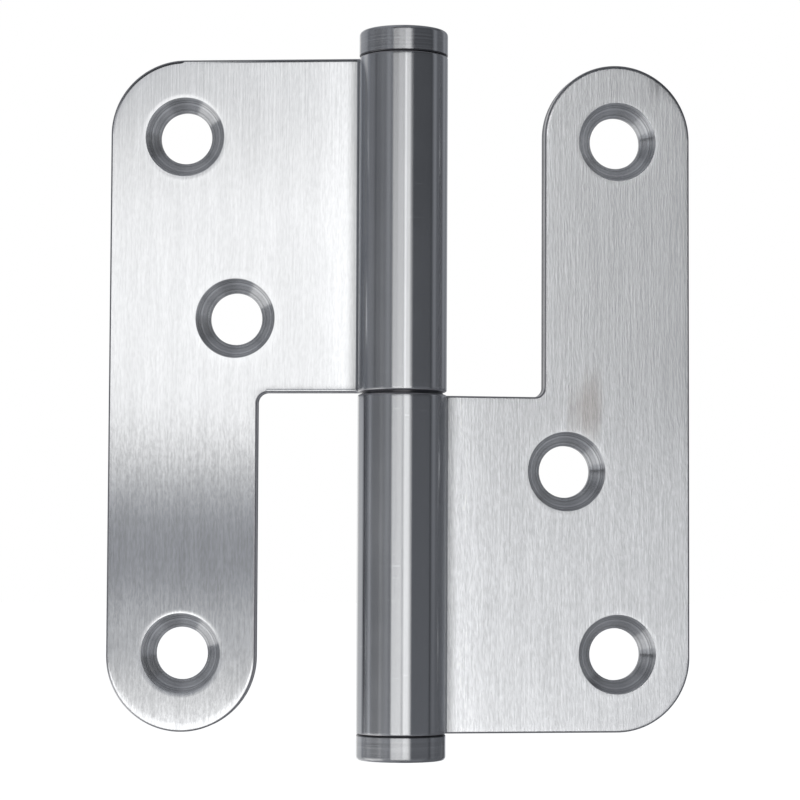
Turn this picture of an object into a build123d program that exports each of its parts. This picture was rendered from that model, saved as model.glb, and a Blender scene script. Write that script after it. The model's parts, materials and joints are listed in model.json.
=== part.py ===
"""Lift-off hinge in stainless sheet, 80 x 70 mm, with rolled knuckles and a fixed pin.

Both leaves are the same stamping. The frame leaf carries the lower knuckle and the pin, and the door leaf
is turned by half a turn, so that its knuckle is the upper one and lifts off the pin.

Frame: +Z up along the pin, -Y towards the countersunk side, +X along the frame leaf. The origin is on the
frame leaf's back face, halfway between its two end holes and level with the joint between the knuckles.
"""

import os
from math import acos, cos, degrees, isclose, radians, sin, sqrt

from build123d import *

# Leaves
leaf_height = 80.0
leaf_reach = 35.1  # from the pin's axis to the outer edge
leaf_thickness = 2.0
leg_width = 17.8
notch_radius = 1.2
edge_break = 0.3  # roll-over of the blanked front edges
face_setback = 0.4  # front faces behind the pin's axis, so closed leaves are twice this apart
rest_opening = 13.6  # degrees past flat, as photographed

# Rolled knuckles
bore_diameter = 6.5
bend_radius = 1.0  # inside of the bend between plate and knuckle
seam_gap = 0.2

# Screw holes
hole_diameter = 6.2
countersink_diameter = 9.5
countersink_angle = 100.0
end_hole_inset = 9.25
middle_hole_reach = 20.0
middle_hole_drop = 9.0  # from the joint

# Pin, washer and caps
running_clearance = 0.05
pin_rise = 32.0  # above the joint
pin_nose_round = 1.6
pin_foot_chamfer = 0.4
washer_thickness = 0.3
washer_setback = 0.45  # washer's rim inside the knuckles' outside
cap_height = 3.0
cap_top_round = 0.5
cap_groove_chamfer = 0.15
spigot_length = 5.0
spigot_chamfer = 0.4

# Sizes that follow
half_height = leaf_height / 2
half_joint = washer_thickness / 2
bore_radius = bore_diameter / 2
knuckle_radius = bore_radius + leaf_thickness
pin_radius = bore_radius - running_clearance
leg_centre = leaf_reach - leg_width / 2
back_depth = face_setback + leaf_thickness

# The plate meets the knuckle in a bend that touches the plate's front face and the knuckle from outside.
bend_lift = bend_radius - face_setback
bend_distance = knuckle_radius + bend_radius
bend_reach = sqrt(bend_distance**2 - bend_lift**2)
bend_angle = degrees(acos(bend_reach / bend_distance))

# The strip's end stops short of the back of that bend by the seam's gap.
seam_distance = bend_radius + leaf_thickness + seam_gap
seam_angle = degrees(
    acos((knuckle_radius**2 + bend_distance**2 - seam_distance**2) / (2 * knuckle_radius * bend_distance))
)
wrap_angle = 360 - seam_angle

# Planes across the pin, one for each half: x along its leaf, y towards the countersunk side and z towards
# its own knuckle.
pin_point = Vector(-leg_centre, -back_depth, 0)
swing = radians(rest_opening)
frame_side = Plane(origin=pin_point, x_dir=(1, 0, 0), z_dir=(0, 0, -1))
door_side = Plane(origin=pin_point, x_dir=(-cos(swing), sin(swing), 0), z_dir=(0, 0, 1))


def knuckle_section(side):
    """The strip's section across the pin: bent forward from the plate and rolled round the bore."""
    bend_centre = (bend_reach, bend_lift)
    with BuildSketch(side.offset(half_joint)) as section:
        with BuildLine():
            outside = CenterArc((0, 0), knuckle_radius, bend_angle, wrap_angle)
            inside = CenterArc((0, 0), bore_radius, bend_angle, wrap_angle)
            Line(inside @ 1, outside @ 1)
            front = CenterArc(bend_centre, bend_radius, 180 + bend_angle, 90 - bend_angle)
            back = CenterArc(bend_centre, bend_radius + leaf_thickness, 180 + bend_angle, 90 - bend_angle)
            Line(front @ 1, back @ 1)
        make_face()
    return section.sketch


def plate_outline(face):
    """The flat part's outline: a wide half beside its knuckle, and a leg past the joint with a round end."""
    leg_inside = leaf_reach - leg_width
    leg_end_height = half_height - leg_width / 2
    with BuildSketch(face) as outline:
        with BuildLine():
            sides = Polyline(
                (leg_inside, leg_end_height),
                (leg_inside, -half_joint),
                (bend_reach, -half_joint),
                (bend_reach, -half_height),
                (leaf_reach, -half_height),
                (leaf_reach, leg_end_height),
            )
            ThreePointArc(sides @ 1, (leg_centre, half_height), sides @ 0)
        make_face()
        corners = outline.vertices()
        fillet(corners.sort_by_distance((leaf_reach, -half_height))[0], leg_width / 2)
        fillet(corners.sort_by_distance((leg_inside, -half_joint))[0], notch_radius)
    return outline.sketch


def front_edges(leaf, side, face):
    """The blanked edge round the front of plate, bend and knuckle."""
    front = leaf.faces().filter_by(face).sort_by(Axis(face.origin, face.z_dir)).filter_by(
        lambda flat: isclose(face.to_local_coords(flat.center()).Z, 0, abs_tol=1e-6)
    )[0]
    along_pin = front.edges().filter_by(Axis(side.origin, side.z_dir))
    bend_line = along_pin.sort_by(Axis(side.origin, side.x_dir))[0]
    arcs = leaf.edges().filter_by(GeomType.CIRCLE).filter_by(side)
    rolled = arcs.filter_by(lambda arc: isclose(arc.radius, knuckle_radius) or isclose(arc.radius, bend_radius))
    return [edge for edge in front.edges() if edge != bend_line] + rolled


def leaf_half(side):
    """One leaf: plate and knuckle in one sheet, with broken front edges and countersunk holes."""
    face = Plane(
        origin=side.from_local_coords(Vector(0, -face_setback, 0)), x_dir=side.x_dir, z_dir=side.y_dir
    )
    with BuildPart() as leaf:
        extrude(knuckle_section(side), amount=half_height - half_joint)
        extrude(plate_outline(face), amount=-leaf_thickness)
        chamfer(front_edges(leaf, side, face), edge_break)
        with Locations(face):
            with Locations(
                (leg_centre, half_height - end_hole_inset),
                (leg_centre, end_hole_inset - half_height),
                (middle_hole_reach, -middle_hole_drop),
            ):
                CounterSinkHole(
                    hole_diameter / 2, countersink_diameter / 2, counter_sink_angle=countersink_angle
                )
    return leaf


def end_cap(side):
    """A turned cap on the outer end of a knuckle, with a spigot pressed into the bore."""
    seat = side.offset(half_height)
    with BuildPart() as cap:
        with BuildSketch(seat):
            Circle(knuckle_radius)
        extrude(amount=cap_height)
        rims = cap.edges().filter_by(GeomType.CIRCLE).sort_by(Axis(side.origin, side.z_dir))
        fillet(rims[-1], cap_top_round)
        chamfer(rims[0], cap_groove_chamfer)
        with BuildSketch(seat):
            Circle(bore_radius)
        extrude(amount=-spigot_length)
        tip = cap.edges().filter_by(GeomType.CIRCLE).sort_by(Axis(side.origin, side.z_dir))[0]
        chamfer(tip, spigot_chamfer)
    return cap


frame_leaf = leaf_half(frame_side)
door_leaf = leaf_half(door_side)
bottom_cap = end_cap(frame_side)
top_cap = end_cap(door_side)

# The pin is pressed into the lower knuckle down to the cap's spigot, and is a running fit above the joint.
with BuildPart() as hinge_pin:
    with BuildSketch(frame_side.offset(half_joint)):
        Circle(bore_radius)
    extrude(amount=half_height - spigot_length - half_joint)
    foot = hinge_pin.edges().filter_by(GeomType.CIRCLE).sort_by(Axis.Z)[0]
    chamfer(foot, pin_foot_chamfer)
    with BuildSketch(door_side.offset(-half_joint)):
        Circle(pin_radius)
    extrude(amount=pin_rise + half_joint)
    nose = hinge_pin.edges().filter_by(GeomType.CIRCLE).sort_by(Axis.Z)[-1]
    fillet(nose, pin_nose_round)

# The washer lies on the lower knuckle and carries the upper one.
with BuildPart() as thrust_washer:
    with BuildSketch(door_side.offset(-half_joint)):
        Circle(knuckle_radius - washer_setback)
        Circle(pin_radius + running_clearance, mode=Mode.SUBTRACT)
    extrude(amount=washer_thickness)

frame_leaf.part.label = "frame_leaf"
door_leaf.part.label = "door_leaf"
hinge_pin.part.label = "hinge_pin"
thrust_washer.part.label = "thrust_washer"
top_cap.part.label = "top_cap"
bottom_cap.part.label = "bottom_cap"

os.makedirs("parts", exist_ok=True)
for piece in (frame_leaf, door_leaf, hinge_pin, thrust_washer, top_cap, bottom_cap):
    export_step(piece.part, f"parts/{piece.part.label}.step")
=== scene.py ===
"""Lift-off hinge in brushed stainless sheet: two stamped leaves, turned end caps, the pin and its washer.

Everything is in metres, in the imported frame: +Z up along the pin, -Y towards the countersunk side and
+X along the frame leaf. Each half of the hinge has its own plane across the pin: x along its leaf, y towards
the countersunk side and z towards its own knuckle.
"""

import json
from math import acos, cos, degrees, pi, radians, sin, sqrt, tan

import bmesh
import bpy
from bpy.props import FloatProperty, FloatVectorProperty, IntProperty, PointerProperty
from mathutils import Matrix, Vector


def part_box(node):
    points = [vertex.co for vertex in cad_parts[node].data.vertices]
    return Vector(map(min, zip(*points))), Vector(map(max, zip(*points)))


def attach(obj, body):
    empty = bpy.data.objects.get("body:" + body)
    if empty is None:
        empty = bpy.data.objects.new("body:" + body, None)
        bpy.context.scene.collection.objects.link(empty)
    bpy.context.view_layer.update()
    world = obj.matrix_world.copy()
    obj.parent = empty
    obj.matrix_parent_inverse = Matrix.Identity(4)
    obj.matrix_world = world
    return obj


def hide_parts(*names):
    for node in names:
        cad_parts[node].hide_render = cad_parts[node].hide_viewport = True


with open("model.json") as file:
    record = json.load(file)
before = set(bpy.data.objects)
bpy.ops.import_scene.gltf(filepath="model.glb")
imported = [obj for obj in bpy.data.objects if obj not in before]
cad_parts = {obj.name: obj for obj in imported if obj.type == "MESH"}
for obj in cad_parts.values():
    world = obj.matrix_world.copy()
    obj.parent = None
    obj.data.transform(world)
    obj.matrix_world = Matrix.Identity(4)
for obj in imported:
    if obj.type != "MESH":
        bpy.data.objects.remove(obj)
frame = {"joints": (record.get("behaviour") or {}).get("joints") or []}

bl_info = {
    "name": "Lift-off Hinge",
    "version": (1, 0, 0),
    "blender": (4, 5, 0),
    "location": "View3D > Sidebar > Hinge",
    "description": "Builds the leaves, caps, pin and washer of a lift-off hinge, and its stage",
    "category": "Add Mesh",
}

MM = 0.001
PIN = Vector(frame["joints"][0]["pos_m"])
MERGE = 1e-7  # metres within which two points are one


def length(name, millimetres, description, low=0.0):
    """A length property with its default in millimetres."""
    return FloatProperty(name=name, description=description, default=millimetres * MM, min=low, unit="LENGTH",
                         precision=6)


def rotation(name, turn, description):
    """An angle property with its default in degrees."""
    return FloatProperty(name=name, description=description, default=radians(turn), unit="ROTATION")


def colour(name, rgb, description):
    """A colour property."""
    return FloatVectorProperty(name=name, description=description, default=rgb, size=3, min=0.0, max=1.0,
                               subtype="COLOR")


class HingeLeafSizes(bpy.types.PropertyGroup):
    """Sizes of the stamped and rolled sheet."""

    height: length("Height", 80.0, "Height of the leaf, along the pin")
    reach: length("Reach", 35.1, "From the pin's axis to the outer edge")
    thickness: length("Thickness", 2.0, "Thickness of the sheet")
    leg_width: length("Leg width", 17.8, "Width of the leg that passes the joint")
    notch_radius: length("Notch radius", 1.2, "Inside corner between the leg and the joint")
    setback: length("Setback", 0.4, "Front face behind the pin's axis")
    edge_round: length("Edge round", 0.3, "Rounded corner of the blanked front edges")
    roll_width: length("Roll-over width", 1.1, "Width of the shallow roll-over along the blanked front edges")
    roll_depth: length("Roll-over depth", 0.01, "Depth of the shallow roll-over at the blanked edge")
    burr_break: length("Burr break", 0.07, "Broken edge at the back, where the punch left the sheet")
    bend_radius: length("Bend radius", 0.4, "Inside of the bend between plate and knuckle")
    bore: length("Bore", 6.5, "Diameter of the rolled bore")
    seam_gap: length("Seam gap", 0.2, "Gap where the rolled strip ends behind the bend")
    joint_gap: length("Joint gap", 0.3, "Gap between the two knuckles, which the washer fills")
    opening: rotation("Opening", 13.6, "How far past flat the door leaf stands")


class HingeHoleSizes(bpy.types.PropertyGroup):
    """Sizes of the countersunk screw holes."""

    diameter: length("Diameter", 6.2, "Diameter of the straight part of the hole")
    sink_diameter: length("Countersink", 9.5, "Diameter of the countersink at the front")
    shoulder: length("Shoulder", 0.5, "Width of the worn shoulder outside the countersink")
    shoulder_depth: length("Shoulder depth", 0.008, "Depth of the worn shoulder at the countersink")
    sink_angle: rotation("Countersink angle", 100.0, "Angle of the countersink")
    end_inset: length("End inset", 9.25, "End holes from the ends of the leaf")
    middle_reach: length("Middle hole reach", 20.0, "Middle hole from the pin's axis")
    middle_drop: length("Middle hole drop", 9.0, "Middle hole from the joint")


class HingePinSizes(bpy.types.PropertyGroup):
    """Sizes of the pin, the washer and the caps."""

    rise: length("Rise", 32.0, "Pin above the joint")
    clearance: length("Clearance", 0.05, "Running clearance between pin and bore, on the radius")
    nose_round: length("Nose round", 1.6, "Rounded top end of the pin")
    foot_chamfer: length("Foot chamfer", 0.4, "Chamfer at the pressed end of the pin")
    washer_setback: length("Washer setback", 0.45, "Washer's rim inside the knuckles' outside")
    cap_height: length("Cap height", 3.0, "Height of the turned cap")
    cap_round: length("Cap round", 0.5, "Rounded outer rim of the cap")
    groove_round: length("Groove round", 0.15, "Rounded rim of the cap beside the knuckle")
    spigot_length: length("Spigot length", 5.0, "Length of the spigot pressed into the bore")
    spigot_chamfer: length("Spigot chamfer", 0.4, "Chamfer at the spigot's tip")


class HingeFinish(bpy.types.PropertyGroup):
    """Colours of the steel and of a smudge on it, and the painted shade of its joints and of a leg's corner.
    """

    sheet: colour("Sheet", (0.93, 0.945, 0.97), "Brushed flat of the leaves")
    knuckle: colour("Knuckle", (0.60, 0.61, 0.63), "Rolled and rubbed knuckle")
    edge: colour("Edge", (0.50, 0.50, 0.52), "Blanked edge of the sheet")
    sink: colour("Countersink", (0.60, 0.61, 0.63), "Cut cone of the countersinks")
    cap: colour("Cap", (0.61, 0.62, 0.64), "Turned caps")
    pin: colour("Pin", (0.62, 0.61, 0.60), "Ground and greased pin")
    # Painted joint shade: the washer between the knuckles and the groove under each cap take this dark colour
    # in place of their shade
    painted_joint_shade: colour("Grease", (0.13, 0.13, 0.14), "Greased washer, and dirt where a cap meets its knuckle")
    smudge: colour("Smudge", (0.80, 0.765, 0.74), "Brownish smudge on the brushed flat")
    # Painted shade at the outer corner of a leg
    painted_corner_shade: colour("Painted corner shade", (0.4, 0.4, 0.405), "Dark shade at the outer corner of a leg")


class HingeStageSizes(bpy.types.PropertyGroup):
    """Floor, camera and fineness of the round shapes."""

    floor_drop: length("Floor drop", 32.0, "Floor below the hinge")
    floor_size: length("Floor size", 6000.0, "Side of the square floor")
    lens: FloatProperty(name="Lens", description="Focal length in millimetres", default=123.76, min=1.0)
    distance: length("Distance", 324.03, "Camera from the pin")
    aside: length("Aside", -0.399, "Camera to the right of the pin", low=-1.0)
    level: length("Level", -19.368, "Camera above the joint", low=-1.0)
    turn: rotation("Turn", 9.4558, "Camera round the pin, from square to the frame leaf")
    pitch: rotation("Pitch", 3.286, "Upward tilt of the camera")
    yaw: rotation("Yaw", 0.025, "Sideways aim of the camera")
    roll: rotation("Roll", 0.267, "Roll of the camera")
    round_steps: IntProperty(name="Round steps", description="Facets round a full turn", default=120, min=24)


# Planes and shared shapes


def side_matrix(x_axis, z_axis):
    """The plane of one half: x along its leaf, z towards its own knuckle, at the joint on the pin's axis."""
    y_axis = z_axis.cross(x_axis)
    turned = Matrix((x_axis, y_axis, z_axis)).transposed().to_4x4()
    return Matrix.Translation((PIN.x, PIN.y, 0.0)) @ turned


def frame_side():
    """Plane of the half that is screwed to the frame."""
    return side_matrix(Vector((1, 0, 0)), Vector((0, 0, -1)))


def door_side():
    """Plane of the half that lifts off with the door."""
    opening = bpy.context.scene.hinge_leaf.opening
    return side_matrix(Vector((-cos(opening), sin(opening), 0)), Vector((0, 0, 1)))


def knuckle_radius():
    """Outside of the rolled knuckle."""
    leaf = bpy.context.scene.hinge_leaf
    return leaf.bore / 2 + leaf.thickness


def hole_places():
    """Middles of the three screw holes, as distance from the pin and height towards the knuckle."""
    leaf, hole = bpy.context.scene.hinge_leaf, bpy.context.scene.hinge_hole
    leg_centre = leaf.reach - leaf.leg_width / 2
    end = leaf.height / 2 - hole.end_inset
    return [(leg_centre, end), (leg_centre, -end), (hole.middle_reach, hole.middle_drop)]


# Facets across each rounding
CORNER_STEPS = 28  # the leaf's large corners
NOTCH_STEPS = 8
EDGE_STEPS = 4  # the blanked front edge
BURR_STEPS = 2
CAP_STEPS = 7  # the cap's outer rim
GROOVE_STEPS = 3
NOSE_STEPS = 8
ROLL_STEPS = 5  # rings of the shallow roll-over
SHOULDER_STEPS = 5  # rings of the worn shoulder round a countersink

SHARP = radians(31)  # edges turned by more than this stay sharp
BRUSHED, BLANKED, CUT = 0, 1, 2  # material slots of a leaf: flats and knuckle, edges, countersinks


def round_corner(bm, at, radius, steps):
    """Rounds one corner of a flat outline."""
    corner = min(bm.verts, key=lambda v: (v.co - Vector(at)).length)
    bmesh.ops.bevel(bm, geom=[corner], offset=radius, offset_type="OFFSET", segments=steps, profile=0.5,
                    affect="VERTICES", material=-1)


def round_edges(bm, edges, size, steps, material=-1):
    """Rounds edges, or chamfers them where steps is 1."""
    bmesh.ops.bevel(bm, geom=edges, offset=size, offset_type="OFFSET", segments=steps, profile=0.5,
                    affect="EDGES", clamp_overlap=True, material=material)


def flat_face(bm, axis, at):
    """The largest face that lies flat across an axis at a height."""
    flat = [f for f in bm.faces if all(abs(v.co[axis] - at) < MERGE for v in f.verts)]
    return max(flat, key=lambda f: f.calc_area())


def draw_out(bm, face, way):
    """Draws a face out of the shape."""
    made = bmesh.ops.extrude_face_region(bm, geom=[face] + list(face.edges) + list(face.verts))
    bmesh.ops.translate(bm, vec=way, verts=[g for g in made["geom"] if isinstance(g, bmesh.types.BMVert)])


def ring(bm, radius, height):
    """Edges of the circle round the local z axis with this radius and height."""
    def on(v):
        return abs(v.co.z - height) < MERGE and abs(v.co.xy.length - radius) < 10 * MERGE
    return [e for e in bm.edges if all(on(v) for v in e.verts)]


def finished(name, bm, place, materials, body, node):
    """Puts a mesh in its place as a piece that rides on a body and stands for a CAD node."""
    bmesh.ops.remove_doubles(bm, verts=bm.verts, dist=MERGE)
    bmesh.ops.recalc_face_normals(bm, faces=bm.faces)
    open_edges = [e for e in bm.edges if len(e.link_faces) != 2]
    if open_edges:
        raise RuntimeError(f"{name} has {len(open_edges)} open edges")
    bmesh.ops.transform(bm, matrix=place, verts=bm.verts)
    for face in bm.faces:
        face.smooth = True
    mesh = bpy.data.meshes.new(name)
    bm.to_mesh(mesh)
    bm.free()
    mesh.set_sharp_from_angle(angle=SHARP)
    for material in materials:
        mesh.materials.append(material)
    piece = bpy.data.objects.new(name, mesh)
    bpy.context.scene.collection.objects.link(piece)
    weighted = piece.modifiers.new("Flats stay flat", "WEIGHTED_NORMAL")
    weighted.keep_sharp = True
    weighted.weight = 100
    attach(piece, body)
    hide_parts(node)


# Node wiring


class Wiring:
    """Short calls for placing and joining nodes in one tree."""

    def __init__(self, tree):
        self.tree = tree
        tree.nodes.clear()

    def node(self, kind, inputs=None, **settings):
        """Places a node, sets its settings and gives each named input a value or a link."""
        made = self.tree.nodes.new(kind)
        for name, value in settings.items():
            setattr(made, name, value)
        for name, value in (inputs or {}).items():
            self.feed(made.inputs[name], value)
        return made

    def feed(self, socket, value):
        """Links an output to a socket, or sets the socket's own value."""
        if isinstance(value, bpy.types.NodeSocket):
            self.tree.links.new(value, socket)
        elif value is not None:
            socket.default_value = value

    def math(self, operation, first, second=None, third=None):
        """A Math node's result."""
        made = self.node("ShaderNodeMath", operation=operation)
        for socket, value in zip(made.inputs, (first, second, third)):
            self.feed(socket, value)
        return made.outputs[0]

    def vector(self, operation, first, second=None):
        """A Vector Math node's vector."""
        made = self.node("ShaderNodeVectorMath", operation=operation)
        for socket, value in zip(made.inputs, (first, second)):
            self.feed(socket, value)
        return made.outputs["Vector"]

    def ramp(self, value, low, high, at_low=0.0, at_high=1.0):
        """Eases from one value to another between two limits."""
        made = self.node("ShaderNodeMapRange", {
            "Value": value, "From Min": low, "From Max": high, "To Min": at_low, "To Max": at_high,
        }, interpolation_type="SMOOTHSTEP")
        return made.outputs["Result"]

    def between(self, amount, first, second, kind="FLOAT"):
        """Mixes two values, or two vectors."""
        made = self.node("ShaderNodeMix", {"Factor": amount, "A": first, "B": second}, data_type=kind)
        return made.outputs["Result"]

    def length(self, vector):
        """A vector's length."""
        return self.node("ShaderNodeVectorMath", {"Vector": vector}, operation="LENGTH").outputs["Value"]

    def parts(self, vector):
        """The X, Y and Z of a vector."""
        return self.node("ShaderNodeSeparateXYZ", {"Vector": vector}).outputs

    def mix(self, amount, first, second, blend="MIX"):
        """Mixes two colours."""
        made = self.node("ShaderNodeMix", {"Factor": amount, "A": rgba(first), "B": rgba(second)},
                         data_type="RGBA", blend_type=blend, clamp_factor=True)
        return made.outputs["Result"]

    def noise(self, vector, scale, detail=2.0, roughness=0.5):
        """A noise between 0 and 1."""
        made = self.node("ShaderNodeTexNoise", {
            "Vector": vector, "Scale": scale, "Detail": detail, "Roughness": roughness})
        return made.outputs["Fac"]

    def group(self, tree, **inputs):
        """Places a node group and returns its outputs."""
        return self.node("ShaderNodeGroup", inputs, node_tree=tree).outputs


def rgba(value):
    """A colour with its alpha, for a colour socket."""
    if isinstance(value, bpy.types.NodeSocket) or len(value) == 4:
        return value
    return (*value, 1.0)


def shared_group(name, inputs, outputs, wire):
    """A node group that is built once. Wire joins its inputs, Vector and single values, to its outputs."""
    tree = bpy.data.node_groups.get(name)
    if tree:
        return tree
    tree = bpy.data.node_groups.new(name, "ShaderNodeTree")
    wiring = Wiring(tree)
    for socket in inputs:
        kind = "NodeSocketVector" if socket == "Vector" else "NodeSocketFloat"
        tree.interface.new_socket(name=socket, in_out="INPUT", socket_type=kind)
    for socket in outputs:
        tree.interface.new_socket(name=socket, in_out="OUTPUT", socket_type="NodeSocketFloat")
    entry = wiring.node("NodeGroupInput").outputs
    leave = wiring.node("NodeGroupOutput")
    for socket, value in wire(wiring, entry).items():
        wiring.feed(leave.inputs[socket], value)
    return tree


def grain_group():
    """Brushing along the pin: fine streaks, long grooves, broader bands and a few bright flecks."""
    def wire(w, given):
        def streaks(scale, stretch, detail):
            """Noise with so many cells to the metre, drawn out along the pin."""
            drawn = w.vector("MULTIPLY", given["Vector"], (scale, scale, scale / stretch))
            return w.noise(drawn, 1.0, detail, 0.62)
        short = w.ramp(streaks(4600.0, 4.5, 2.0), 0.3, 0.7)
        long = w.ramp(streaks(3800.0, 18.0, 1.0), 0.3, 0.7)
        fine = w.math("MULTIPLY_ADD", short, 0.6, w.math("MULTIPLY", long, 0.4))
        groove = w.ramp(streaks(4200.0, 45.0, 1.0), 0.3, 0.7)
        broad = w.ramp(streaks(520.0, 14.0, 3.0), 0.3, 0.7)
        flecks = w.ramp(streaks(3100.0, 9.0, 1.0), 0.74, 0.84)
        return {"Fine": fine, "Groove": groove, "Broad": broad, "Flecks": flecks}
    return shared_group("Brushed grain", ["Vector"], ["Fine", "Groove", "Broad", "Flecks"], wire)


def turning_group():
    """Rings left by a turning tool: Along is the tool's travel in metres."""
    def wire(w, given):
        travel = w.node("ShaderNodeCombineXYZ", {"X": given["Along"]}).outputs["Vector"]
        wobble = w.vector("MULTIPLY", given["Vector"], (90.0, 90.0, 0.0))
        at = w.vector("ADD", w.vector("MULTIPLY", travel, (9000.0, 0.0, 0.0)), wobble)
        fine = w.ramp(w.noise(at, 1.0, 1.0, 0.5), 0.32, 0.68)
        coarse = w.ramp(w.noise(w.vector("MULTIPLY", at, (0.22, 0.4, 0.4)), 1.0, 1.0, 0.5), 0.3, 0.7)
        return {"Fine": fine, "Coarse": coarse}
    return shared_group("Turning marks", ["Vector", "Along"], ["Fine", "Coarse"], wire)


def wear_group():
    """Cloudy handling marks, tiny nicks and short level scuffs, alike on every steel surface."""
    def wire(w, given):
        clouds = w.ramp(w.noise(given["Vector"], 60.0, 3.0, 0.55), 0.3, 0.7)
        nick = w.node("ShaderNodeTexVoronoi", {"Vector": given["Vector"], "Scale": 420.0, "Randomness": 1.0},
                      feature="F1").outputs
        spots = w.ramp(nick["Distance"], 0.05, 0.09, 1.0, 0.0)
        pick = w.node("ShaderNodeSeparateColor", {"Color": nick["Color"]}).outputs["Red"]
        chosen = w.math("GREATER_THAN", pick, 0.86)
        scratch = w.noise(w.vector("MULTIPLY", given["Vector"], (500.0, 500.0, 9000.0)), 1.0, 1.0)
        sparse = w.ramp(w.noise(given["Vector"], 170.0, 1.0), 0.6, 0.7)
        scuffs = w.math("MULTIPLY", w.ramp(scratch, 0.66, 0.76), sparse)
        return {"Clouds": clouds, "Nicks": w.math("MULTIPLY", spots, chosen), "Scuffs": scuffs}
    return shared_group("Handling wear", ["Vector"], ["Clouds", "Nicks", "Scuffs"], wire)


# Materials

ROLLED_EASE = 0.2 * MM  # from the knuckle outwards, where its turned finish gives way to the brushed one
LEG_EASE = 8.0 * MM  # from the joint down the leg, where its own brushing takes over

# Painted light and shade on the brushed tone from the knuckle outwards: where each begins and ends, and its
# two factors. The bend is painted lighter, the sheet beside it painted darker where it would reflect the
# knuckle, and then painted a little brighter than the rest.
BEND_PAINTED_LIGHT = ((0.2 * MM, 0.5 * MM, 1.6, 1.0), (0.0, 1.8 * MM, 0.46, 1.0), (1.3 * MM, 7.0 * MM, 1.12, 1.0))

# Each leaf's finish: how far its brushing spreads a reflection, its tone, its grain as a change of tone
# beside the knuckle and along the leg, its grain as a depth, and how much of that depth is short streaks.
# Painted highlight and shade bands along its knuckle, in place of the reflections of its roll, have their
# place in degrees from the leaf's direction, half width and change of tone. Smudges, and a painted shade at a
# leg's corner, have their reach from the pin, height towards the knuckle, half width, half height and colour.
LEAF_FINISH = {
    "frame_leaf": {
        "spread": 0.22, "shade": 0.88, "brushing": (0.15, 0.12), "depth": 0.006 * MM, "short": 0.8,
        "painted_bands": ((157.0, 4.0, -0.3), (144.7, 4.0, 0.35), (98.7, 3.0, -0.18)),
        "smudges_and_shades": ((22.4 * MM, 1.5 * MM, 2.8 * MM, 5.5 * MM, "smudge"),
                    (34.4 * MM, -38.9 * MM, 4.6 * MM, 4.6 * MM, "painted_corner_shade")),
    },
    "door_leaf": {
        "spread": 0.14, "shade": 0.75, "brushing": (0.085, 0.22), "depth": 0.003 * MM, "short": 0.4,
        "painted_bands": ((16.0, 10.0, 0.8), (37.0, 11.0, 0.9), (56.3, 3.0, -0.2), (97.3, 2.5, 0.25)),
        "smudges_and_shades": (),
    },
}


def new_material(name):
    """An empty material and its wiring."""
    material = bpy.data.materials.new(name)
    material.use_nodes = True
    return material, Wiring(material.node_tree)


def place_in(w, side):
    """Object coordinates turned into one half's plane."""
    back = side.inverted()
    return w.node("ShaderNodeMapping", {
        "Vector": w.node("ShaderNodeTexCoord").outputs["Object"],
        "Rotation": back.to_euler(), "Location": back.to_translation(),
    }).outputs["Vector"]


def pin_radius(w, at):
    """Distance from the pin's axis, in metres."""
    return w.length(w.vector("MULTIPLY", at, (1.0, 1.0, 0.0)))


def hole_distance(w, at):
    """Distance to the nearest of a leaf's three hole axes, in metres."""
    flat = w.vector("MULTIPLY", at, (1.0, 0.0, 1.0))
    nearest = None
    for reach, height in hole_places():
        gap = w.length(w.vector("SUBTRACT", flat, (reach, 0.0, height)))
        nearest = gap if nearest is None else w.math("MINIMUM", nearest, gap)
    return nearest


def across_turning(w):
    """The direction in which a turned surface spreads a reflection: along its profile, across the rings."""
    where = w.node("ShaderNodeNewGeometry").outputs
    outwards = w.vector("SUBTRACT", where["Position"], (PIN.x, PIN.y, 0.0))
    around = w.vector("NORMALIZE", w.vector("CROSS_PRODUCT", (0.0, 0.0, 1.0), outwards))
    return w.vector("CROSS_PRODUCT", where["Normal"], around)


def across_brushing(w, at, rolled_radius):
    """Where a leaf spreads a reflection: level on its flats, along the pin on its knuckle."""
    normal = w.node("ShaderNodeNewGeometry").outputs["Normal"]
    level = w.vector("ADD", w.vector("CROSS_PRODUCT", normal, (0.0, 0.0, 1.0)), (0.002, 0.0, 0.0))
    rolled = w.math("LESS_THAN", pin_radius(w, at), rolled_radius)
    return w.between(rolled, level, across_turning(w), kind="VECTOR")


def hole_axis(w, side):
    """The direction of a leaf's holes, which turns with the leaf."""
    axis = side.to_3x3() @ Vector((0, 1, 0))
    return w.node("ShaderNodeVectorTransform", {"Vector": axis}, vector_type="VECTOR", convert_from="OBJECT",
                  convert_to="WORLD").outputs["Vector"]


def paint_knuckle_bands(w, at, painted_bands):
    """Painted highlight and shade bands along the knuckle, as a factor on its colour."""
    split = w.parts(at)
    angle = w.math("MULTIPLY", w.math("ARCTAN2", split["Y"], split["X"]), degrees(1.0))
    broken = w.ramp(w.noise(w.vector("MULTIPLY", at, (30.0, 30.0, 90.0)), 1.0), 0.3, 0.7, 0.6, 1.0)
    tone = 1.0
    for place, width, change in painted_bands:
        apart = w.math("ABSOLUTE", w.math("SUBTRACT", angle, place))
        line = w.math("MULTIPLY", w.ramp(apart, 0.0, width, 1.0, 0.0), broken)
        tone = w.math("MULTIPLY_ADD", line, change, tone)
    return tone


def painted_seam_shade(w, at):
    """Painted shade in the groove where a cap meets its knuckle, at either end of the hinge."""
    leaf = bpy.context.scene.hinge_leaf
    height = w.math("ABSOLUTE", w.parts(at)["Z"])
    apart = w.math("ABSOLUTE", w.math("SUBTRACT", height, leaf.height / 2))
    return w.ramp(apart, 0.11 * MM, 0.22 * MM, 1.0, 0.0)


def grey(w, value):
    """A grey from one value."""
    return w.node("ShaderNodeCombineColor", {"Red": value, "Green": value, "Blue": value}).outputs["Color"]


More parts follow.
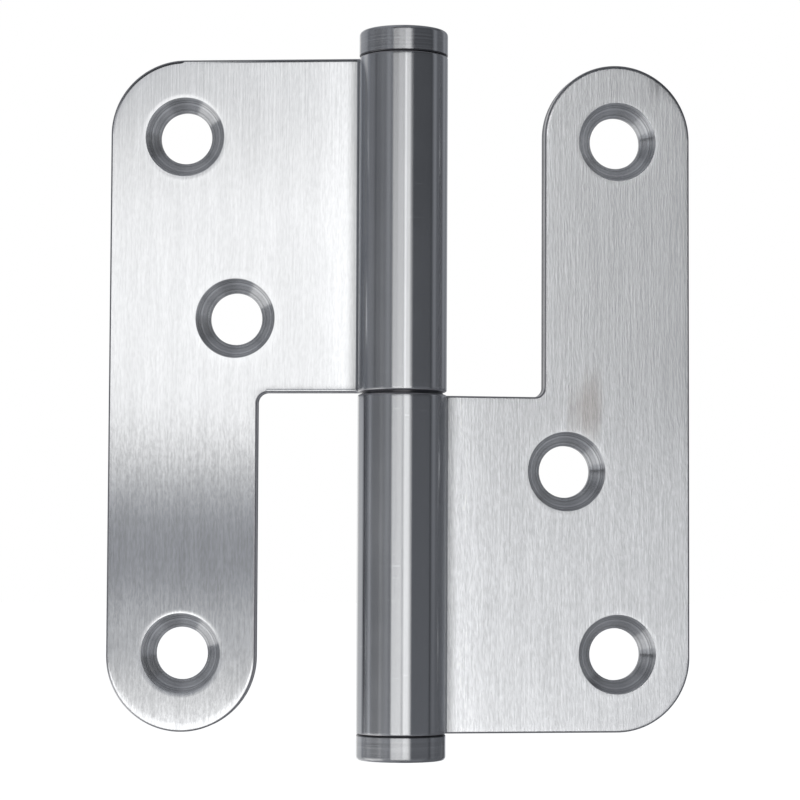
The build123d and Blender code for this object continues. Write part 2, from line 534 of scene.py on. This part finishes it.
def metal(w, base, roughness, height, depth, anisotropy=0.0, tangent=None):
    """Ends a material in one metallic shader with a bump."""
    bump = w.node("ShaderNodeBump", {"Strength": 1.0, "Distance": depth, "Height": height})
    shader = w.node("ShaderNodeBsdfPrincipled", {
        "Base Color": base, "Metallic": 1.0, "Roughness": roughness, "Normal": bump.outputs["Normal"],
        "Anisotropic": anisotropy,
    })
    if tangent is not None:
        w.feed(shader.inputs["Tangent"], tangent)
    w.node("ShaderNodeOutputMaterial", {"Surface": shader.outputs["BSDF"]})


def sheet_material(name, side, spread, shade, brushing, depth, short, painted_bands, smudges_and_shades):
    """Brushed flat that turns into the rubbed, smoother knuckle round the pin."""
    scene = bpy.context.scene
    finish, leaf, hole = scene.hinge_finish, scene.hinge_leaf, scene.hinge_hole
    material, w = new_material(name)
    at = place_in(w, side)
    split = w.parts(at)
    grain = w.group(grain_group(), Vector=at)
    wear = w.group(wear_group(), Vector=at)
    outside = knuckle_radius()
    radius = pin_radius(w, at)
    rolled = w.ramp(radius, outside, outside + ROLLED_EASE, 1.0, 0.0)
    rim = hole.sink_diameter / 2
    gap = hole_distance(w, at)
    # A painted highlight ring round each countersink
    painted_halo = w.ramp(gap, rim + hole.shoulder * 0.5, rim + hole.shoulder * 2.5, 1.0, 0.0)

    beside_knuckle, along_leg = brushing
    contrast = w.ramp(split["Z"], -LEG_EASE, 0.0, along_leg, beside_knuckle)
    tone = w.math("MULTIPLY_ADD", w.math("SUBTRACT", grain["Fine"], 0.5), contrast, shade)
    tone = w.math("MULTIPLY", tone, w.ramp(grain["Broad"], 0.0, 1.0, 0.98, 1.02))
    tone = w.math("MULTIPLY", tone, w.ramp(wear["Clouds"], 0.0, 1.0, 0.985, 1.015))
    tone = w.math("MULTIPLY_ADD", grain["Flecks"], 0.05, tone)
    tone = w.math("MULTIPLY_ADD", painted_halo, 0.04, tone)
    # Painted light and shade on the bend and beside it
    for begin, end, low, high in BEND_PAINTED_LIGHT:
        tone = w.math("MULTIPLY", tone, w.ramp(radius, outside + begin, outside + end, low, high))
    # The knuckle's tone: real rubbing, grain, scuffs and nicks, with painted highlight and shade bands
    rubbed = w.math("MULTIPLY_ADD", wear["Clouds"], 0.06, 0.97)
    rubbed = w.math("MULTIPLY_ADD", grain["Fine"], 0.04, rubbed)
    rubbed = w.math("MULTIPLY", rubbed, paint_knuckle_bands(w, at, painted_bands))
    rubbed = w.math("MULTIPLY_ADD", wear["Scuffs"], 0.35, rubbed)
    rubbed = w.math("MULTIPLY_ADD", wear["Nicks"], -0.28, rubbed)
    steel = w.mix(rolled, finish.sheet, finish.knuckle)
    base = w.mix(1.0, steel, grey(w, w.between(rolled, tone, rubbed)), "MULTIPLY")
    # Painted shade in the groove under each cap, on the knuckle's end
    base = w.mix(w.math("MULTIPLY", rolled, painted_seam_shade(w, at)), base, finish.painted_joint_shade)
    front = w.math("GREATER_THAN", split["Y"], -leaf.setback - leaf.thickness / 2)
    # A brownish smudge on the front, and a painted shade at a leg's outer corner
    for reach, height, wide, tall, tint in smudges_and_shades:
        shape = w.node("ShaderNodeMapping", {
            "Vector": at, "Location": (-reach / wide, 0.0, -height / tall),
            "Scale": (1 / wide, 0.0, 1 / tall)})
        away = w.math("MULTIPLY_ADD", grain["Broad"], 0.5, w.length(shape.outputs["Vector"]))
        spot = w.ramp(away, 0.4, 1.3, 1.0, 0.0)
        darker = w.mix(1.0, base, getattr(finish, tint), "MULTIPLY")
        base = w.mix(w.math("MULTIPLY", spot, front), base, darker)

    satin = w.math("MULTIPLY_ADD", grain["Fine"], -0.03, spread)
    smooth = w.math("MULTIPLY_ADD", wear["Clouds"], 0.04, 0.18)
    height = w.math("MULTIPLY", w.between(short, grain["Groove"], grain["Fine"]),
                    w.math("MULTIPLY_ADD", rolled, -0.95, 1.0))
    metal(w, base, w.between(rolled, satin, smooth), height, depth, 1.0,
          across_brushing(w, at, outside + ROLLED_EASE / 2))
    return material


def edge_material(name, side):
    """Blanked edge: a smooth sheared band near the front and a torn one behind it."""
    finish, leaf = bpy.context.scene.hinge_finish, bpy.context.scene.hinge_leaf
    material, w = new_material(name)
    at = place_in(w, side)
    wear = w.group(wear_group(), Vector=at)
    grain = w.group(grain_group(), Vector=w.node("ShaderNodeMapping", {
        "Vector": at, "Rotation": (radians(90.0), 0.0, 0.0)}).outputs["Vector"])
    depth = w.parts(at)["Y"]
    line = w.math("MULTIPLY_ADD", wear["Clouds"], 0.3 * MM, -leaf.setback - leaf.thickness * 0.5)
    torn = w.ramp(w.math("SUBTRACT", depth, line), -0.06 * MM, 0.06 * MM, 1.0, 0.0)
    rough = w.ramp(w.noise(at, 2600.0, 3.0, 0.6), 0.3, 0.7)
    base = w.mix(torn, finish.edge, tuple(c * 0.72 for c in finish.edge))
    base = w.mix(w.math("MULTIPLY", grain["Fine"], 0.25), base, (0.75, 0.75, 0.76))
    height = w.math("ADD", w.math("MULTIPLY", torn, rough), w.math("MULTIPLY", grain["Fine"], 0.3))
    metal(w, base, w.between(torn, 0.3, 0.55), height, 0.02 * MM)
    return material


def sink_material(name, side):
    """Cut countersink with the rings of its tool."""
    finish = bpy.context.scene.hinge_finish
    material, w = new_material(name)
    at = place_in(w, side)
    rings = w.group(turning_group(), Vector=at, Along=w.math("MULTIPLY", hole_distance(w, at), 0.55))
    wear = w.group(wear_group(), Vector=at)
    tone = w.math("MULTIPLY_ADD", rings["Coarse"], 0.3, w.math("MULTIPLY_ADD", rings["Fine"], 0.5, 0.62))
    tone = w.math("MULTIPLY", tone, w.ramp(wear["Clouds"], 0.0, 1.0, 0.94, 1.06))
    base = w.mix(1.0, finish.sink, grey(w, tone), "MULTIPLY")
    roughness = w.math("MULTIPLY_ADD", rings["Coarse"], 0.06, 0.22)
    height = w.math("MULTIPLY_ADD", rings["Coarse"], 2.0, rings["Fine"])
    metal(w, base, roughness, height, 0.002 * MM, 1.0, hole_axis(w, side))
    return material


def turned_material(name, rgb, least_roughness):
    """Turned steel round the pin's axis: rings along the sides and round the ends."""
    material, w = new_material(name)
    at = place_in(w, frame_side())
    radius = pin_radius(w, at)
    height = w.parts(at)["Z"]
    marks = w.group(turning_group(), Vector=at, Along=w.math("ADD", radius, height))
    wear = w.group(wear_group(), Vector=at)
    tone = w.math("MULTIPLY_ADD", marks["Fine"], 0.1, w.math("MULTIPLY_ADD", marks["Coarse"], 0.08, 0.91))
    tone = w.math("MULTIPLY", tone, w.ramp(wear["Clouds"], 0.0, 1.0, 0.96, 1.04))
    tone = w.math("MULTIPLY_ADD", wear["Nicks"], 0.5, tone)
    base = w.mix(1.0, rgb, grey(w, tone), "MULTIPLY")
    # Painted shade in the groove where the cap meets its knuckle
    base = w.mix(painted_seam_shade(w, at), base, bpy.context.scene.hinge_finish.painted_joint_shade)
    roughness = w.math("MULTIPLY_ADD", marks["Fine"], 0.05, least_roughness)
    metal(w, base, roughness, marks["Fine"], 0.001 * MM, 1.0, across_turning(w))
    return material


# Pieces


def leaf_outline(bm, leaf):
    """The flat part's outline in the front plane, a little longer than the plate where its bend comes."""
    half, joint = leaf.height / 2, leaf.joint_gap / 2
    leg_inside, level = leaf.reach - leaf.leg_width, -leaf.setback
    start = bend_reach(leaf) - 3 * leaf.roll_width
    corners = [(leg_inside, -half), (leg_inside, joint), (start, joint), (start, half), (leaf.reach, half),
               (leaf.reach, -half)]
    bm.faces.new([bm.verts.new((x, level, z)) for x, z in corners])
    for x, z in (corners[0], corners[4], corners[5]):
        round_corner(bm, (x, level, z), leaf.leg_width / 2, CORNER_STEPS)
    round_corner(bm, (leg_inside, level, joint), leaf.notch_radius, NOTCH_STEPS)
    bmesh.ops.remove_doubles(bm, verts=bm.verts, dist=MERGE)


def bend_reach(leaf):
    """Where the plate ends and its bend to the knuckle begins, from the pin's axis."""
    lift = leaf.bend_radius - leaf.setback
    across = knuckle_radius() + leaf.bend_radius
    return sqrt(across**2 - lift**2)


def roll_over(bm, leaf):
    """Draws the front face down towards its outline in a shallow curve, as blanking does."""
    face = max(bm.faces, key=lambda f: f.calc_area())
    for step in range(ROLL_STEPS):
        rim = bmesh.ops.inset_region(bm, faces=[face], thickness=leaf.roll_width / ROLL_STEPS,
                                     use_boundary=True, use_even_offset=True)["faces"]
        outer = {v for part in rim for v in part.verts} - set(face.verts)
        drop = leaf.roll_depth * (1 - step / ROLL_STEPS) ** 2
        bmesh.ops.translate(bm, vec=(0, -drop, 0), verts=list(outer))


def give_thickness(bm, leaf):
    """Makes the outline a plate, rounded at the front and broken at the back, and cuts it off at its bend."""
    level, back = -leaf.setback - leaf.roll_depth, -leaf.setback - leaf.thickness
    made = bmesh.ops.extrude_edge_only(bm, edges=[e for e in bm.edges if e.is_boundary])
    drawn = [g for g in made["geom"] if isinstance(g, bmesh.types.BMVert)]
    bmesh.ops.translate(bm, vec=(0, back - level, 0), verts=drawn)
    bmesh.ops.holes_fill(bm, edges=[e for e in bm.edges if e.is_boundary], sides=0)
    bmesh.ops.recalc_face_normals(bm, faces=bm.faces)
    for face in bm.faces:
        face.material_index = BRUSHED if abs(face.normal.y) > 0.5 else BLANKED

    def outline(at):
        return [e for e in bm.edges if all(abs(v.co.y - at) < MERGE for v in e.verts)]
    round_edges(bm, outline(level), leaf.edge_round, EDGE_STEPS, material=BLANKED)
    round_edges(bm, outline(back), leaf.burr_break, BURR_STEPS, material=BLANKED)
    bend = bend_reach(leaf)
    bmesh.ops.bisect_plane(bm, geom=bm.verts[:] + bm.edges[:] + bm.faces[:], dist=MERGE,
                           plane_co=(bend, 0, 0), plane_no=(1, 0, 0), clear_inner=True)
    bmesh.ops.contextual_create(bm, geom=[e for e in bm.edges if e.is_boundary])


def roll_knuckle(bm, leaf, steps):
    """Bends the strip forward from the plate and rolls it round the bore, up to the seam."""
    bend, outside = bend_reach(leaf), knuckle_radius()
    lift, across = leaf.bend_radius - leaf.setback, outside + leaf.bend_radius
    tangent = acos(bend / across)
    apart = leaf.bend_radius + leaf.thickness + leaf.seam_gap
    seam = acos((outside**2 + across**2 - apart**2) / (2 * outside * across))
    end = flat_face(bm, 0, bend)
    strip = [end] + list(end.edges) + list(end.verts)
    for centre, angle in (((bend, lift, 0), tangent - pi / 2), ((0, 0, 0), 2 * pi - seam)):
        turned = max(6, round(steps * abs(angle) / (2 * pi)))
        strip = bmesh.ops.spin(bm, geom=strip, cent=centre, axis=(0, 0, 1), dvec=(0, 0, 0), angle=angle,
                               steps=turned, use_merge=False, use_normal_flip=False,
                               use_duplicate=False)["geom_last"]
    for part in strip:
        if isinstance(part, bmesh.types.BMFace):
            part.material_index = BLANKED


def cut_holes(bm, leaf, hole, steps):
    """Opens the countersunk holes: the flats are laid again round a cone and a straight bore for each."""
    front, back = -leaf.setback, -leaf.setback - leaf.thickness
    outlines = {}
    for at in (front, back):
        face = flat_face(bm, 1, at)
        outlines[at] = list(face.edges)
        bmesh.ops.delete(bm, geom=[face], context="FACES_ONLY")
    wide, narrow, slope = hole.sink_diameter / 2, hole.diameter / 2, tan(hole.sink_angle / 2)
    inward = hole.shoulder + hole.shoulder_depth * slope
    levels = []
    for n in range(SHOULDER_STEPS + 1):
        down = hole.shoulder_depth * (n / SHOULDER_STEPS) ** 2
        levels.append((front - down, wide + hole.shoulder - inward * n / SHOULDER_STEPS))
    levels += [(front - (wide - narrow) / slope, narrow), (back, narrow)]
    across = Matrix.Rotation(radians(90), 4, "X")
    rims = {front: [], back: []}
    for reach, height in hole_places():
        for number, ((top, top_radius), (bottom, bottom_radius)) in enumerate(zip(levels, levels[1:])):
            made = bmesh.ops.create_cone(
                bm, cap_ends=False, segments=steps, radius1=top_radius, radius2=bottom_radius,
                depth=top - bottom, matrix=Matrix.Translation((reach, (top + bottom) / 2, height)) @ across)
            for face in {f for v in made["verts"] for f in v.link_faces}:
                face.material_index = BRUSHED if number < SHOULDER_STEPS else CUT
            edges = dict.fromkeys(e for v in made["verts"] for e in v.link_edges)
            for at in rims:
                rims[at] += [e for e in edges if all(abs(v.co.y - at) < MERGE for v in e.verts)]
    for at, outline in outlines.items():
        filled = bmesh.ops.triangle_fill(bm, use_beauty=True, use_dissolve=False,
                                         edges=outline + rims[at])["geom"]
        inner = [g for g in filled if isinstance(g, bmesh.types.BMEdge)]
        for part in filled:
            if isinstance(part, bmesh.types.BMFace):
                part.material_index = BRUSHED
        bmesh.ops.dissolve_limit(bm, angle_limit=radians(1), use_dissolve_boundaries=False, verts=[],
                                 edges=inner, delimit=set())


def build_leaf(name, side, materials, body):
    """One leaf in one sheet: outline, thickness, rolled knuckle and countersunk holes."""
    scene = bpy.context.scene
    leaf, steps = scene.hinge_leaf, scene.hinge_stage.round_steps
    bm = bmesh.new()
    leaf_outline(bm, leaf)
    roll_over(bm, leaf)
    give_thickness(bm, leaf)
    roll_knuckle(bm, leaf, steps)
    cut_holes(bm, leaf, scene.hinge_hole, steps)
    finished(name + "_sheet", bm, side, materials, body, name)


class HINGE_OT_leaves(bpy.types.Operator):
    """Builds both leaves, each with its rolled knuckle and countersunk holes"""

    bl_idname = "hinge.leaves"
    bl_label = "Build leaves"

    def execute(self, context):
        for name, side, body in (("frame_leaf", frame_side(), "frame_half"),
                                 ("door_leaf", door_side(), "door_half")):
            materials = [sheet_material(f"{name}_brushed", side, **LEAF_FINISH[name]),
                         edge_material(f"{name}_edge", side), sink_material(f"{name}_countersink", side)]
            build_leaf(name, side, materials, body)
        return {"FINISHED"}


class HINGE_OT_caps(bpy.types.Operator):
    """Builds the turned cap at the outer end of each knuckle"""

    bl_idname = "hinge.caps"
    bl_label = "Build caps"

    def execute(self, context):
        scene = context.scene
        steel = turned_material("turned_cap", scene.hinge_finish.cap, 0.2)
        for name, side, body in (("bottom_cap", frame_side(), "frame_half"),
                                 ("top_cap", door_side(), "door_half")):
            self.build(scene, name, side, steel, body)
        return {"FINISHED"}

    def build(self, scene, name, side, steel, body):
        """A disc with a rounded rim, and a spigot under it."""
        leaf, pin, steps = scene.hinge_leaf, scene.hinge_pin, scene.hinge_stage.round_steps
        outside, bore, seat = knuckle_radius(), leaf.bore / 2, leaf.height / 2
        bm = bmesh.new()
        middle = Matrix.Translation((0, 0, seat + pin.cap_height / 2))
        bmesh.ops.create_cone(bm, cap_ends=True, segments=steps, radius1=outside, radius2=outside,
                              depth=pin.cap_height, matrix=middle)
        round_edges(bm, ring(bm, outside, seat + pin.cap_height), pin.cap_round, CAP_STEPS)
        round_edges(bm, ring(bm, outside, seat), pin.groove_round, GROOVE_STEPS)
        under = flat_face(bm, 2, seat)
        bmesh.ops.inset_region(bm, faces=[under], thickness=outside - pin.groove_round - bore,
                               use_even_offset=True)
        draw_out(bm, under, (0, 0, -pin.spigot_length))
        tip = flat_face(bm, 2, seat - pin.spigot_length)
        round_edges(bm, list(tip.edges), pin.spigot_chamfer, 1)
        finished(name + "_turned", bm, side, [steel], body, name)


class HINGE_OT_pin(bpy.types.Operator):
    """Builds the pin and the washer that the door half turns on"""

    bl_idname = "hinge.pin"
    bl_label = "Build pin and washer"

    def execute(self, context):
        scene = context.scene
        steel = turned_material("ground_pin", scene.hinge_finish.pin, 0.16)
        self.build_pin(scene, steel)
        # The washer takes the dark painted joint shade, for the shaded line between the knuckles
        self.build_washer(scene, turned_material("washer_in_joint_shade", scene.hinge_finish.painted_joint_shade, 0.35))
        return {"FINISHED"}

    def build_pin(self, scene, steel):
        """Pressed foot with a chamfer, and a slightly thinner running part with a round nose."""
        leaf, pin, steps = scene.hinge_leaf, scene.hinge_pin, scene.hinge_stage.round_steps
        joint, foot = -leaf.joint_gap / 2, pin.spigot_length - leaf.height / 2
        pressed = leaf.bore / 2
        bm = bmesh.new()
        bmesh.ops.create_cone(bm, cap_ends=True, segments=steps, radius1=pressed, radius2=pressed,
                              depth=joint - foot, matrix=Matrix.Translation((0, 0, (joint + foot) / 2)))
        top = flat_face(bm, 2, joint)
        bmesh.ops.inset_region(bm, faces=[top], thickness=pin.clearance, use_even_offset=True)
        draw_out(bm, top, (0, 0, pin.rise - joint))
        round_edges(bm, list(flat_face(bm, 2, pin.rise).edges), pin.nose_round, NOSE_STEPS)
        round_edges(bm, list(flat_face(bm, 2, foot).edges), pin.foot_chamfer, 1)
        place = Matrix.Translation((PIN.x, PIN.y, 0))
        finished("hinge_pin_ground", bm, place, [steel], "frame_half", "hinge_pin")

    def build_washer(self, scene, steel):
        """A flat ring, spun from its section."""
        leaf, pin, steps = scene.hinge_leaf, scene.hinge_pin, scene.hinge_stage.round_steps
        inner, outer, half = leaf.bore / 2, knuckle_radius() - pin.washer_setback, leaf.joint_gap / 2
        bm = bmesh.new()
        corners = [bm.verts.new(p) for p in (
            (inner, 0, -half), (outer, 0, -half), (outer, 0, half), (inner, 0, half))]
        section = [bm.edges.new(pair) for pair in zip(corners, corners[1:] + corners[:1])]
        bmesh.ops.spin(bm, geom=section + corners, cent=(0, 0, 0), axis=(0, 0, 1), dvec=(0, 0, 0),
                       angle=2 * pi, steps=steps, use_merge=True, use_duplicate=False)
        place = Matrix.Translation((PIN.x, PIN.y, 0))
        finished("thrust_washer_ring", bm, place, [steel], "washer", "thrust_washer")


# Stage

AMBIENT = 0.07  # brightness of the studio between its panels
DARKEST = 0.03
FLOOR_GLOW = 0.85  # light that the floor adds where the camera sees it

# Soft panels of the studio round the hinge: left, right, bottom and top in degrees as seen from the pin,
# 0 towards the camera and positive to the right and upwards; softness of sides and ends; added brightness.
STUDIO = (
    ("left wall", -200, -33, -90, 90, 4, 1, 0.14),
    ("key above", -27, 18.8, 2, 13.5, 3, 2, 1.22),
    ("key below", -26, 24.5, -35, 2, 3, 2, 1.25),
    ("key's right side", 3, 20.5, -35, 16, 3, 4, 0.22),
    ("key ramp", -44, -26, 3, 20, 5, 3, 0.22),
    ("key strip", 4, 9, 2, 14, 2, 4, 0.25),
    ("key gap at the horizon", -60, 8, -1.6, 1.9, 6, 1.3, -0.95),
    ("key dimmed below it", -60, 8, -3.4, -1.6, 6, 0.35, -0.48),
    ("key's bright foot", -60, 10, -35, -3.4, 6, 0.2, 0.3),
    ("key dimmed near the floor", -26, 24.5, -36, -16, 3, 5, -0.6),
    ("tripod", 1.5, 5.5, -35, 2, 2, 2, -0.45),
    ("shaded corner", -26, -12.5, 8.5, 40, 2.5, 1.5, -0.8),
    ("left strip", -99, -88, -40, 1, 3, 3, 0.1),
    ("left dim", -82, -62, -40, 20, 5, 3, -0.05),
    ("left window", -165, -122, -40, 3, 4, 3, 0.42),
    ("left window's edge", -122, -106, -40, 3, 3, 3, 0.06),
    ("left window above", -165, -110, 3, 30, 5, 3, 0.2),
    ("backdrop left", -181, -155, -30, 40, 6, 6, 0.5),
    ("backdrop right", 152, 181, -30, 40, 6, 6, 0.33),
    ("right window above", 126, 150, 2, 30, 5, 3, 0.2),
    ("right wall", 82, 140, -40, 30, 3, 5, 0.09),
    ("right strip", 86, 97, 2, 30, 3, 3, 0.16),
    ("right table", 24, 77, -60, 2, 3, 3, 0.14),
    ("left table", -118, -55, -50, -14, 4, 1.2, 0.8),
    ("ceiling", -181, 181, 45, 91, 1, 10, 0.15),
    ("table", -181, 181, -91, -35, 1, 8, 0.1),
)
DIM_LIGHT = (0.94, 0.975, 1.06)  # colour of the light where the studio is dim
FULL_LIGHT = (1.0, 0.995, 0.985)


def seen_directly(w):
    """1 to the camera, straight or through a clear surface, and 0 to reflections and for light."""
    path = w.node("ShaderNodeLightPath").outputs
    return w.math("MAXIMUM", path["Is Camera Ray"], path["Is Transmission Ray"])


def panel_group():
    """A soft-edged rectangle in azimuth and elevation, in degrees."""
    def wire(w, given):
        inside = None
        for value, low, high, soft in (("Azimuth", "Left", "Right", "Sides"),
                                       ("Elevation", "Bottom", "Top", "Ends")):
            for limit, begin, end in ((low, 0.0, 1.0), (high, 1.0, 0.0)):
                before = w.math("SUBTRACT", given[limit], given[soft])
                after = w.math("ADD", given[limit], given[soft])
                mask = w.ramp(given[value], before, after, begin, end)
                inside = mask if inside is None else w.math("MULTIPLY", inside, mask)
        return {"Mask": inside}
    sockets = ("Azimuth", "Elevation", "Left", "Right", "Bottom", "Top", "Sides", "Ends")
    return shared_group("Soft panel", sockets, ["Mask"], wire)


class HINGE_OT_stage(bpy.types.Operator):
    """Builds the floor, the studio light and the camera"""

    bl_idname = "hinge.stage"
    bl_label = "Build stage"

    def execute(self, context):
        scene = context.scene
        scene.view_settings.view_transform = "Standard"
        self.build_floor(scene)
        self.light_studio(scene)
        self.place_camera(scene)
        return {"FINISHED"}

    def build_floor(self, scene):
        """A pale floor that looks white to the camera and keeps the hinge's shadow."""
        stage = scene.hinge_stage
        bm = bmesh.new()
        bmesh.ops.create_grid(bm, x_segments=1, y_segments=1, size=stage.floor_size / 2)
        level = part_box("bottom_cap")[0].z - stage.floor_drop
        bmesh.ops.translate(bm, vec=(0, 0, level), verts=bm.verts)
        mesh = bpy.data.meshes.new("floor")
        bm.to_mesh(mesh)
        bm.free()
        material, w = new_material("pale_floor")
        at = w.node("ShaderNodeTexCoord").outputs["Object"]
        paper = w.ramp(w.noise(at, 40.0, 3.0), 0.2, 0.8, 0.83, 0.87)
        lit = w.node("ShaderNodeBsdfDiffuse", {"Color": grey(w, paper)}).outputs["BSDF"]
        strength = w.math("MULTIPLY", seen_directly(w), FLOOR_GLOW)
        glow = w.node("ShaderNodeEmission", {"Strength": strength}).outputs["Emission"]
        both = w.node("ShaderNodeAddShader")
        w.feed(both.inputs[0], lit)
        w.feed(both.inputs[1], glow)
        w.node("ShaderNodeOutputMaterial", {"Surface": both.outputs["Shader"]})
        mesh.materials.append(material)
        floor = bpy.data.objects.new("floor", mesh)
        scene.collection.objects.link(floor)
        floor.visible_glossy = False

    def light_studio(self, scene):
        """White to the camera, and a dark studio with soft panels to the steel."""
        world = bpy.data.worlds.new("studio")
        scene.world = world
        world.use_nodes = True
        w = Wiring(world.node_tree)
        towards = w.node("ShaderNodeMapping", {
            "Vector": w.node("ShaderNodeTexCoord").outputs["Generated"],
            "Rotation": (0.0, 0.0, scene.hinge_stage.turn)}).outputs["Vector"]
        split = w.parts(towards)
        back = w.math("MULTIPLY", split["Y"], -1.0)
        azimuth = w.math("MULTIPLY", w.math("ARCTAN2", split["X"], back), degrees(1.0))
        elevation = w.math("MULTIPLY", w.math("ARCSINE", split["Z"]), degrees(1.0))
        total = AMBIENT
        for _, left, right, bottom, top, sides, ends, strength in STUDIO:
            mask = w.group(panel_group(), Azimuth=azimuth, Elevation=elevation, Left=left, Right=right,
                           Bottom=bottom, Top=top, Sides=sides, Ends=ends)["Mask"]
            total = w.math("MULTIPLY_ADD", mask, strength, total)
        total = w.math("MAXIMUM", total, DARKEST)
        cast = w.mix(w.ramp(total, 0.1, 0.9), DIM_LIGHT, FULL_LIGHT)
        studio = w.node("ShaderNodeBackground", {"Color": cast, "Strength": total}).outputs["Background"]
        white = w.node("ShaderNodeBackground", {"Color": (1, 1, 1, 1), "Strength": 1.0}).outputs["Background"]
        both = w.node("ShaderNodeMixShader", {"Fac": seen_directly(w)})
        w.feed(both.inputs[1], studio)
        w.feed(both.inputs[2], white)
        w.node("ShaderNodeOutputWorld", {"Surface": both.outputs["Shader"]})

    def place_camera(self, scene):
        """The photograph's view: from just left of square to the frame leaf, a little below the joint."""
        stage = scene.hinge_stage
        turn = Matrix.Rotation(-stage.turn, 3, "Z")
        flat = cos(stage.pitch)
        ahead = Vector((sin(stage.yaw) * flat, cos(stage.yaw) * flat, sin(stage.pitch)))
        level = Vector((cos(stage.yaw), -sin(stage.yaw), 0))
        upward = level.cross(ahead)
        right = cos(stage.roll) * level + sin(stage.roll) * upward
        upward = cos(stage.roll) * upward - sin(stage.roll) * level
        facing = turn @ Matrix((right, upward, -ahead)).transposed()
        place = Vector((PIN.x, PIN.y, 0)) + turn @ Vector((stage.aside, -stage.distance, stage.level))
        data = bpy.data.cameras.new("camera")
        data.lens = stage.lens
        data.clip_start = 0.01
        camera = bpy.data.objects.new("camera", data)
        camera.matrix_world = Matrix.Translation(place) @ facing.to_4x4()
        scene.collection.objects.link(camera)
        scene.camera = camera


class HINGE_PT_parts(bpy.types.Panel):
    """Lists the hinge's pieces and its stage"""

    bl_idname = "HINGE_PT_parts"
    bl_label = "Lift-off hinge"
    bl_space_type = "VIEW_3D"
    bl_region_type = "UI"
    bl_category = "Hinge"

    def draw(self, context):
        for operator in OPERATORS:
            self.layout.operator(operator.bl_idname)
        for name in SETTINGS:
            box = self.layout.box()
            settings = getattr(context.scene, name)
            for field in settings.__annotations__:
                box.prop(settings, field)


OPERATORS = (HINGE_OT_leaves, HINGE_OT_caps, HINGE_OT_pin, HINGE_OT_stage)
SETTINGS = {
    "hinge_leaf": HingeLeafSizes,
    "hinge_hole": HingeHoleSizes,
    "hinge_pin": HingePinSizes,
    "hinge_finish": HingeFinish,
    "hinge_stage": HingeStageSizes,
}
CLASSES = (*SETTINGS.values(), *OPERATORS, HINGE_PT_parts)


def register():
    """Adds the classes and hangs the settings on the scene."""
    for cls in CLASSES:
        bpy.utils.register_class(cls)
    for name, cls in SETTINGS.items():
        setattr(bpy.types.Scene, name, PointerProperty(type=cls))


def unregister():
    """Takes the settings and the classes away again."""
    for name in SETTINGS:
        delattr(bpy.types.Scene, name)
    for cls in reversed(CLASSES):
        bpy.utils.unregister_class(cls)


def main():
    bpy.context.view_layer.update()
    register()
    bpy.ops.hinge.leaves()
    bpy.ops.hinge.caps()
    bpy.ops.hinge.pin()
    bpy.ops.hinge.stage()


if __name__ == "__main__":
    main()
